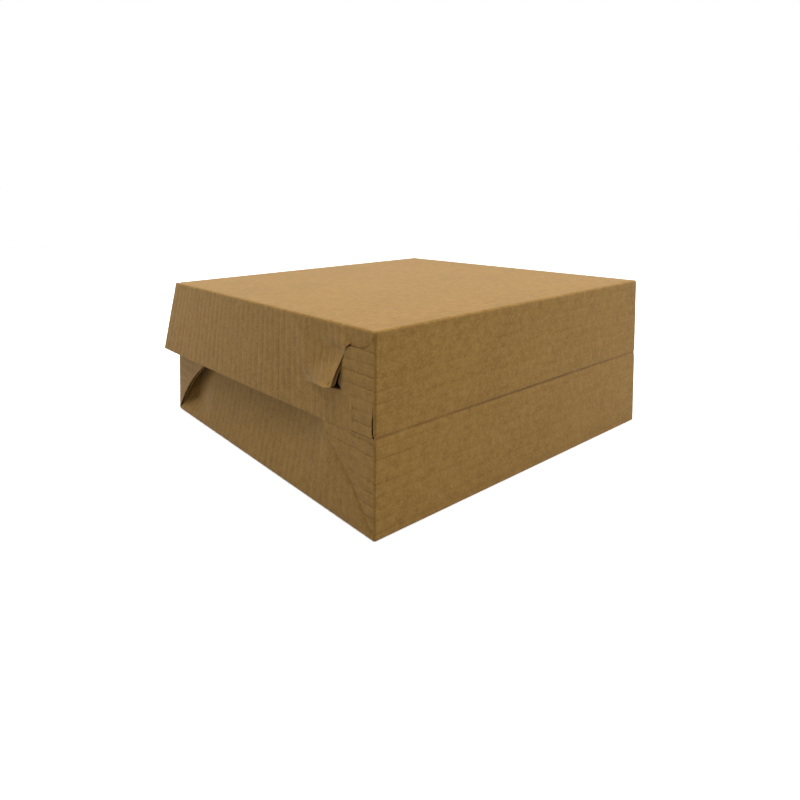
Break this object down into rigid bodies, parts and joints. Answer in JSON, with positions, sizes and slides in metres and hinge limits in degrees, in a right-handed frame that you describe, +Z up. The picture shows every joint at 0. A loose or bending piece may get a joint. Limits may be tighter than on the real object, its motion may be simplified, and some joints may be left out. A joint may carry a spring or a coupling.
{
  "type": "square folding box",
  "caption": "Square corrugated board box: a tray with wrapped corner tabs and a hinged lid locked at its back corners by tabs in slits.",
  "frame": {"origin": "centre of the tray's footprint, on the underside of the floor", "axes": "+X to the right across the box, +Y to the hinge side, +Z up"},
  "size_m": [0.1402, 0.1326, 0.056],
  "materials": {
    "kraft_tray": "matt brown kraft liner over fine flutes",
    "kraft_lid": "matt brown kraft liner over fine flutes"
  },
  "bodies": {
    "tray": {"base_floor": "kraft_tray", "base_back_wall": "kraft_tray", "base_front_wall": "kraft_tray", "base_right_wall": "kraft_tray", "base_left_wall": "kraft_tray", "base_back_right_tab": "kraft_tray", "base_back_left_tab": "kraft_tray", "base_front_right_tab": "kraft_tray", "base_front_left_tab": "kraft_tray"},
    "lid": {"lid_top": "kraft_lid", "lid_back_wall": "kraft_lid", "lid_right_wall": "kraft_lid", "lid_left_wall": "kraft_lid", "lid_right_lock_tab": "kraft_lid", "lid_left_lock_tab": "kraft_lid"},
    "front_flap": {"lid_front_wall": "kraft_lid", "lid_front_right_ear": "kraft_lid", "lid_front_left_ear": "kraft_lid"}
  },
  "joints": [
    {"name": "lid_hinge", "type": "hinge", "parent": "tray", "child": "lid", "pos_m": [0, 0.06515, 0.0276], "axis": [-1, 0, 0], "range_deg": [0, 180]},
    {"name": "front_flap_fold", "type": "hinge", "parent": "lid", "child": "front_flap", "pos_m": [0, -0.06763, 0.0516], "axis": [-1, 0, 0], "range_deg": [0, 90]}
  ]
}
